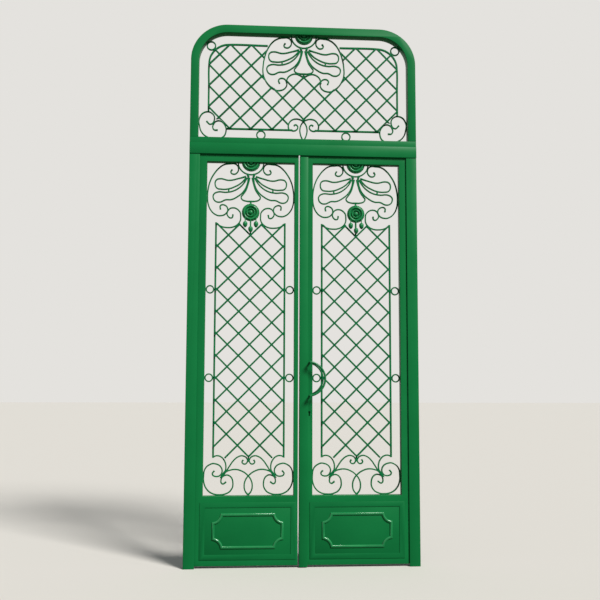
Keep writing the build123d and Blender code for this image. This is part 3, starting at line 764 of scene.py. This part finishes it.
transom_foot_curl = [(74, -2), (60, -4), (44, 3), (36, 17), (41, 31), (52, 35), (60, 28)]
centre_wing = [(-3, 60), (16, 70), (45, 76), (76, 66), (94, 36), (92, 6)]
centre_oval = [(-6, 66), (12, 44), (22, 12), (19, -22), (8, -50), (0, BAR_SEAT - TRANSOM_FOOT)]
print("crest", len(leaf_crest), "points")

# %% [markdown]
# Every grille hangs from its rail in the same way: a palmette of paired loops round a collar, a
# bell below it, and one long crest scroll on each side, seated on the back of this web. Bars
# that cross in one layer are set 0.3 mm apart in depth, so that no two faces lie in one plane.

# %% Palmettes and crest scrolls
COLLAR_RADIUS = 80.0
COLLAR_RISE = 8.0
LAP = 0.3
HUB_FAN = [(22, 4), (15, -16)]
STEM_TOP = -236
TRANSOM_STEM_FOOT = -266


def palmette_bars(name, centre_x, rail_z, across, skirt=None):
    """The palmette that hangs from a rail, with its collar, ties and hub."""
    loops = both_sides(upper_loop, across) + both_sides(lower_loop, across) + both_sides(bell_side, across)
    if skirt:
        loops += both_sides(skirt)
    collar = volute((0, COLLAR_RISE), 182, 358, (COLLAR_RADIUS,) * 9)
    ties = both_sides(loop_tie, across)
    hub_top = COLLAR_RISE - COLLAR_RADIUS
    fan = [[(x, hub_top + z) for x, z in bend] for bend in both_sides(HUB_FAN)]
    bars = [
        forge(f"{name}_loops", loops, scroll_section, centre_x, rail_z, WEB_FRONT),
        forge(f"{name}_collar", [collar], scroll_section, centre_x, rail_z, WEB_FRONT - LAP * MM, tips=1.0),
        forge(f"{name}_ties", ties, tie_section, centre_x, rail_z, WEB_FRONT - LAP * MM, tips=1.0),
        forge(f"{name}_fan", fan, tie_section, centre_x, rail_z, WEB_FRONT - 2 * LAP * MM, tips=1.5),
    ]
    return join_bars(name, bars)


for side in ("left", "right"):
    middle = LEAF_X[side]
    palmette = palmette_bars(f"{side}_palmette_bars", middle, LEAF_HEAD, ACROSS)
    stem_low = (low(f"{side}_palmette").z - LEAF_HEAD) / MM
    stem_line = [(0, STEM_TOP), (0, stem_low)]
    stem = forge(f"{side}_stem", [stem_line], tie_section, middle, LEAF_HEAD, WEB_FRONT, tips=1.0)
    palmette = join_bars(palmette.name, [palmette, stem])
    settle(palmette, f"{side}_palmette")
    crest_lines = both_sides(leaf_crest, ACROSS)
    crest = forge(f"{side}_crest_bars", crest_lines, scroll_section, middle, LEAF_HEAD, SCROLL_FRONT)
    settle(crest, f"{side}_crest_scrolls")

palmette = palmette_bars("transom_palmette_bars", GATE_X, ARCH_HEAD, 1.0, palmette_skirt)
stem_line = [(0, STEM_TOP), (0, TRANSOM_STEM_FOOT)]
stem = forge("transom_stem", [stem_line], tie_section, GATE_X, ARCH_HEAD, WEB_FRONT, tips=1.0)
palmette = join_bars(palmette.name, [palmette, stem])
settle(palmette, "transom_palmette")
crest = forge(
    "transom_crest_bars", both_sides(transom_crest), scroll_section, GATE_X, ARCH_HEAD, SCROLL_FRONT,
)
settle(crest, "transom_crest_scrolls")
print("palmettes and crests forged")

# %% [markdown]
# The bottom of a leaf's grille has a pair of crossed arches that spring from the rail, a pair of
# curls tied at the centre, and a corner scroll on each side. Four bars meet in a wedge-shaped
# collar, which is a closed outline extruded to the bar's depth.


# %% Wedge collars, arches and corner scrolls
WEDGE_EDGE = 0.8


def wedge(name, outline, centre_x, base_z, front_y, depth_mm, edge_mm):
    """A flat closed outline extruded to a depth, with a narrow bevel."""
    drawn = bpy.data.curves.new(name, "CURVE")
    drawn.dimensions = "2D"
    drawn.fill_mode = "BOTH"
    drawn.extrude = (depth_mm / 2 - edge_mm) * MM
    drawn.bevel_depth = edge_mm * MM
    drawn.offset = -edge_mm * MM
    line = drawn.splines.new("POLY")
    line.points.add(len(outline) - 1)
    line.use_cyclic_u = True
    for knot, (x, z) in zip(line.points, outline):
        knot.co = (x * MM, z * MM, 0, 1)
    collar = bpy.data.objects.new(name, drawn)
    scene.collection.objects.link(collar)
    choose(collar)
    bpy.ops.object.convert(target="MESH")
    collar = bpy.context.object
    collar.rotation_euler = (radians(90), 0, 0)
    collar.location = (centre_x, front_y + depth_mm / 2 * MM, base_z)
    bpy.ops.object.transform_apply(location=True, rotation=True, scale=True)
    close_mesh(collar)
    return collar


for side in ("left", "right"):
    middle = LEAF_X[side]
    sill = SILL[side]
    bars = [forge(
        f"{side}_arch_bars", both_sides(inner_curl, ACROSS) + both_sides(crossed_arch, ACROSS),
        scroll_section, middle, sill, WEB_FRONT,
    )]
    for half in (-1, 1):
        outline = [(half * ACROSS * x, z) for x, z in bottom_bunch]
        bars.append(wedge(
            f"{side}_wedge", outline, middle, sill, WEB_FRONT - LAP * MM, BAR_DEPTH + LAP, WEDGE_EDGE,
        ))
    bars.append(forge(
        f"{side}_arch_tie", [[(0, arch_tie[0]), (0, arch_tie[1])]], tie_section, middle, sill,
        WEB_FRONT - LAP * MM, tips=1.0,
    ))
    settle(join_bars(f"{side}_arches", bars), f"{side}_bottom_arches")
    corner_lines = both_sides(corner_scroll, ACROSS)
    corner = forge(f"{side}_corner_bars", corner_lines, scroll_section, middle, sill, SCROLL_FRONT)
    settle(corner, f"{side}_bottom_scrolls")
print("arches and corner scrolls forged")

# %% [markdown]
# A heavier bar borders each lattice. Its ends run on as thinner curls, at the head towards the
# rosette and at the foot into the wedge collars. Rings hold it off the stiles.

# %% Borders of the leaves
BORDER_INSET = 58.0
BORDER_LAP = 5.0
for side in ("left", "right"):
    middle = LEAF_X[side]
    border_x = LEAF_HALF / MM - BORDER_INSET
    head_z = border_head[-1][1]
    foot_z = (SILL[side] - LEAF_HEAD) / MM + border_foot[0][1]
    uprights = both_sides([(border_x, head_z + BORDER_LAP), (border_x, foot_z - BORDER_LAP)])
    bars = [
        forge(f"{side}_uprights", uprights, border_section, middle, LEAF_HEAD, WEB_FRONT, tips=1.0),
        forge(
            f"{side}_head_curls", both_sides(border_head, ACROSS), scroll_section, middle, LEAF_HEAD,
            WEB_FRONT + LAP * MM,
        ),
        forge(
            f"{side}_foot_curls", both_sides(border_foot, ACROSS), scroll_section, middle, SILL[side],
            WEB_FRONT + LAP * MM, tips=1.0,
        ),
    ]
    settle(join_bars(f"{side}_border_bars", bars), f"{side}_grille_border")
print("leaf borders forged")

# %% [markdown]
# The transom's border is a hoop with two round shoulders, open at the crown where the palmette
# hangs. Its lower bar is in two halves that curl up at the centre.

# %% Border of the transom
BORDER_SIDE = 60.0
BORDER_HEAD = 64.0
BORDER_BEND = 125.0
CURL_TOP = 173.0
CURL_SIDE = 168.0
CURL_LAP = 4.0
opening_half = HALF_OPENING / MM
side_x = opening_half - BORDER_SIDE
head_z = (ARCH_HEAD - ARCH_FOOT) / MM - BORDER_HEAD
bend = volute((side_x - BORDER_BEND, head_z - BORDER_BEND), 0, 90, (BORDER_BEND,) * 7)
hoop = [(side_x, CURL_TOP), (side_x, (CURL_TOP + head_z - BORDER_BEND) / 2)] + bend
hoop += [(transom_crest_back[3][0], head_z)]
curl_start = transom_foot_curl[0][0] - CURL_LAP
lower_bar = [(opening_half - CURL_SIDE, TRANSOM_FOOT), (curl_start, TRANSOM_FOOT)]
foot_curl = [(x, z + TRANSOM_FOOT) for x, z in transom_foot_curl]
bars = [
    forge("transom_hoop", both_sides(hoop), border_section, GATE_X, ARCH_FOOT, WEB_FRONT, tips=1.0),
    forge("transom_lower_bar", both_sides(lower_bar), border_section, GATE_X, ARCH_FOOT, WEB_FRONT, tips=1.0),
    forge(
        "transom_foot_curls", both_sides(foot_curl), scroll_section, GATE_X, ARCH_FOOT,
        WEB_FRONT + LAP * MM,
    ),
]
settle(join_bars("transom_border_bars", bars), "transom_border")
print("transom border forged")

# %% [markdown]
# A scroll fills each lower corner of the transom, and two wings with an oval between them stand
# at the centre. They are bars of the same section, seated on the back of the border.

# %% Scrolls of the transom
corner = [(opening_half - x, z) for x, z in transom_corner_scroll]
corner_lines = both_sides(corner)
scrolls = forge("transom_corner_bars", corner_lines, scroll_section, GATE_X, ARCH_FOOT, SCROLL_FRONT)
settle(scrolls, "transom_corner_scrolls")
centre_bends = both_sides(centre_wing) + both_sides(centre_oval)
centre_bends = [[(x, z + TRANSOM_FOOT) for x, z in bend] for bend in centre_bends]
scrolls = forge("transom_centre_bars", centre_bends, scroll_section, GATE_X, ARCH_FOOT, SCROLL_FRONT)
settle(scrolls, "transom_centre_scroll")
print("transom scrolls forged")

# %% [markdown]
# Rings of the same bar hold the borders off the frame. Their places and sizes are read from the
# node's loose parts, and each is one closed curve.


# %% Rings
def ring_places(node):
    """The centres and outer radii of a node's rings, from the parts of its mesh that hang together."""
    piece = copy_node(node)
    choose(piece)
    bpy.ops.object.mode_set(mode="EDIT")
    bpy.ops.mesh.select_all(action="SELECT")
    bpy.ops.mesh.separate(type="LOOSE")
    bpy.ops.object.mode_set(mode="OBJECT")
    places = []
    for part in list(bpy.context.selected_objects):
        xs = [point.co.x for point in part.data.vertices]
        zs = [point.co.z for point in part.data.vertices]
        middle_x = (min(xs) + max(xs)) / 2
        middle_z = (min(zs) + max(zs)) / 2
        places.append((middle_x, middle_z, (max(xs) - min(xs)) / 2))
        bpy.data.objects.remove(part)
    return sorted(places)


for node in ("left_rings", "right_rings", "transom_rings"):
    rings = []
    for x, z, radius in ring_places(node):
        middle_radius = radius / MM - BAR_WIDTH / 2
        circle = volute((0, 0), 0, 330, (middle_radius,) * 12)
        rings.append(forge(
            f"{node}_ring", [circle], scroll_section, x, z, WEB_FRONT, closed=True, tips=1.0, steps=4,
        ))
    settle(join_bars(f"{node}_round", rings), node)
print("rings forged")

# %% [markdown]
# The moulding on each kick panel is a half-round bead bent round a rectangle with hollow corners.
# Its section is half a flattened disc, and it follows straight sides and four quarter arcs.

# %% Panel mouldings
BEAD_WIDTH = 17.0
BEAD_RISE = 7.5
NOTCH_RADIUS = 50.0
deselect()
bpy.ops.mesh.primitive_circle_add(vertices=28, radius=1, fill_type="NGON")
bead_section = bpy.context.object
bead_section.name = "bead_section"
bead_section.scale = (BEAD_WIDTH / 2 * MM, BEAD_RISE * MM, 1)
bpy.ops.object.transform_apply(location=True, rotation=True, scale=True)
bpy.ops.object.mode_set(mode="EDIT")
bpy.ops.mesh.select_all(action="SELECT")
bpy.ops.mesh.bisect(plane_co=(0, 0, 0), plane_no=(0, 1, 0), clear_inner=True)
bpy.ops.mesh.select_all(action="SELECT")
bpy.ops.mesh.delete(type="ONLY_FACE")
bpy.ops.object.mode_set(mode="OBJECT")
bpy.ops.object.convert(target="CURVE")
bead_section = bpy.context.object
bead_section.data.splines[0].use_cyclic_u = True

for side in ("left", "right"):
    moulding_low = low(f"{side}_panel_moulding")
    moulding_high = high(f"{side}_panel_moulding")
    middle_z = (moulding_low.z + moulding_high.z) / 2
    half_x = (moulding_high.x - moulding_low.x) / 2 / MM
    half_z = (moulding_high.z - moulding_low.z) / 2 / MM
    radius = NOTCH_RADIUS + BEAD_WIDTH / 2
    lean = degrees(atan2(BEAD_WIDTH / 2, sqrt(radius ** 2 - (BEAD_WIDTH / 2) ** 2)))
    path = []
    for way_x, way_z, first in ((1, 1, 180), (1, -1, 90), (-1, -1, 0), (-1, 1, -90)):
        path += volute((way_x * half_x, way_z * half_z), first + lean, first + 90 - lean, (radius,) * 11)
    bead = forge(
        f"{side}_bead", [path], bead_section, LEAF_X[side], middle_z, LEAF_FRONT - BAR_DEPTH / 2 * MM,
        closed=True, tips=1.0, steps=1, kind="VECTOR",
    )
    reach = [point.co.y for point in bead.data.vertices]
    print(bead.name, "stands from", round(min(reach), 4), "to", round(max(reach), 4))
    # The bead takes the paint whose lighter green is a painted highlight.
    settle(bead, f"{side}_panel_moulding", paint=bead_paint_with_painted_highlight)

# %% [markdown]
# The rosettes are castings, turned in the pattern maker's lathe: a disc with a raised ring and a
# boss. Beads run round the rim and round the inner ring. A circle is filled and its face is
# extruded and resized from ring to ring, and each bead is a small dome made the same way, copied
# round the centre with its own mesh.


# %% Turned castings
def turned(name, rings, sides, place, tilt=90):
    """A round body that rises through rings of radius and height in millimetres."""
    deselect()
    bpy.ops.mesh.primitive_circle_add(vertices=sides, radius=rings[0][0] * MM, fill_type="NGON")
    body = bpy.context.object
    body.name = name
    bpy.ops.object.mode_set(mode="EDIT")
    bpy.ops.mesh.select_all(action="SELECT")
    for (inner, foot), (outer, head) in zip(rings, rings[1:]):
        bpy.ops.mesh.extrude_region_move(TRANSFORM_OT_translate={"value": (0, 0, (head - foot) * MM)})
        bpy.ops.transform.resize(value=(outer / inner, outer / inner, 1), center_override=(0, 0, 0))
    bpy.ops.object.mode_set(mode="OBJECT")
    body.rotation_euler = (radians(tilt), 0, 0)
    body.location = place
    bpy.ops.object.transform_apply(location=True, rotation=True, scale=True)
    close_mesh(body)
    bpy.ops.object.shade_smooth_by_angle(angle=radians(45))
    return body


print("castings can be turned")

# %% Beaded rosette
# Each ring is a share of the disc's radius and a height from its back.
DISC_RINGS = [
    (1.0, 0), (1.0, 6), (0.975, 8), (0.9, 9), (0.87, 9), (0.855, 13), (0.82, 15.5), (0.75, 16.5),
    (0.68, 15.5), (0.64, 13), (0.62, 9), (0.58, 6.5), (0.54, 7), (0.52, 12), (0.49, 15), (0.44, 16.5),
    (0.39, 15.5), (0.35, 12), (0.33, 7), (0.27, 6.5), (0.235, 8), (0.225, 14), (0.2, 18.5),
    (0.15, 20.6), (0.06, 21.3), (0.02, 21.4),
]
BEAD_DOME = [(3.4, 0), (3.3, 1.2), (2.6, 2.6), (1.5, 3.4), (0.4, 3.7)]
# Each row is its number of beads, their share of the radius, their height and their sides.
BEAD_ROWS = ((28, 0.935, 7.6, 10), (16, 0.44, 14.4, 8))
RAIL_REACH = 0.12
DISC_SIDES = 56


def rosette(name, x, z, radius, arc=360):
    """A beaded rosette on the front of the web; an arc of 180 leaves out its upper half."""
    rings = [(share * radius, rise) for share, rise in DISC_RINGS]
    parts = [turned(name, rings, DISC_SIDES, (x, WEB_FRONT, z))]
    for count, share, rise, sides in BEAD_ROWS:
        pattern = turned(f"{name}_dome", BEAD_DOME, sides, (0, 0, 0))
        for index in range(count):
            angle = radians((index + 0.5) * 360 / count)
            if arc == 180 and sin(angle) > RAIL_REACH:
                continue
            dome_copy = pattern.copy()
            dome_copy.data = pattern.data.copy()
            scene.collection.objects.link(dome_copy)
            dome_x = x + share * radius * cos(angle) * MM
            dome_z = z + share * radius * sin(angle) * MM
            dome_copy.location = (dome_x, WEB_FRONT - rise * MM, dome_z)
            choose(dome_copy)
            bpy.ops.object.transform_apply(location=True, rotation=True, scale=True)
            parts.append(dome_copy)
        bpy.data.objects.remove(pattern)
    whole = join_bars(name, parts)
    if arc == 180:
        choose(whole)
        bpy.ops.object.mode_set(mode="EDIT")
        bpy.ops.mesh.select_all(action="SELECT")
        bpy.ops.mesh.bisect(
            plane_co=(x, 0, z - HALF_LIFT * MM), plane_no=(0, 0, 1), clear_outer=True, use_fill=True,
        )
        bpy.ops.object.mode_set(mode="OBJECT")
    return whole


print("rosette of", len(DISC_RINGS), "rings and", len(BEAD_ROWS), "rows of beads")

# %% [markdown]
# Three buds hang on thin necks below each full rosette, and a small ball sits on the stem above
# it. They are turned like the rosette, with their axis hanging down. The half rosettes seat on
# the rail, so what stands above it is cut off by bisect and the cut is filled.

# %% Rosettes and hanging buds
HALF_RADIUS = 57.0
HALF_LIFT = 3.0
FULL_RADIUS = 54.0
ROSETTE_DROP = 310.0
BUD_SEAT = 46.0
BUD_RISE = 17.0
BUD_NECK = 3.0
BUD_SIDES = 20
EGG_LENGTH = 40
BUD_PLACES = ((-33, 96), (33, 96), (0, 127))
HANGING = 180
BALL_DROP = 250.0
BALL_BACK = 9.0
BALL_SIDES = 16
# Radii, and heights from the tip up
BUD_EGG = [
    (3.0, 39.0), (8.5, 37.0), (12.2, 32.5), (14.2, 26.5), (14.4, 20), (12.8, 13.5), (9.8, 7.5), (6.0, 3.2),
    (2.6, 0.8), (0.8, 0.2),
]
STEM_BALL = [(3, 0), (6.5, 2), (8.6, 6.5), (6.5, 11), (3, 13)]


def bud(name, x, z, spread, tip):
    """An egg-shaped bud on a thin neck, its tip below the rosette's centre."""
    seat = sqrt(BUD_SEAT ** 2 - spread ** 2)
    length = tip - seat
    egg = [(radius, length - rise) for radius, rise in BUD_EGG]
    rings = [(BUD_NECK, 0), (BUD_NECK, length - EGG_LENGTH)] + egg
    place = (x + spread * MM, WEB_FRONT - BUD_RISE * MM, z - seat * MM)
    return turned(name, rings, BUD_SIDES, place, HANGING)


for side in ("left", "right"):
    middle = LEAF_X[side]
    centre_z = LEAF_HEAD - ROSETTE_DROP * MM
    castings = [
        rosette(f"{side}_half_rosette", middle, LEAF_HEAD + HALF_LIFT * MM, HALF_RADIUS, 180),
        rosette(f"{side}_full_rosette", middle, centre_z, FULL_RADIUS),
    ]
    for spread, tip in BUD_PLACES:
        castings.append(bud(f"{side}_bud", middle, centre_z, spread, tip))
    ball_y = WEB_FRONT - BAR_DEPTH / 2 * MM + BALL_BACK * MM
    ball_place = (middle, ball_y, LEAF_HEAD - BALL_DROP * MM)
    castings.append(turned(f"{side}_stem_ball", STEM_BALL, BALL_SIDES, ball_place, HANGING))
    settle(join_bars(f"{side}_castings", castings), f"{side}_rosettes")
half = rosette("transom_half_rosette", GATE_X, ARCH_HEAD + HALF_LIFT * MM, HALF_RADIUS, 180)
settle(half, "transom_rosette")
print("rosettes and buds turned")

# %% [markdown]
# The sections have done their work and are taken out, so that only finished pieces stay. Any
# node that is still shown is then listed.

# %% Remove the sections
for section in (scroll_section, border_section, tie_section, bead_section):
    bpy.data.objects.remove(section)
left_over = [name for name in frame["nodes"] if frame["nodes"][name].hide_render is False]
print("nodes still shown", left_over)
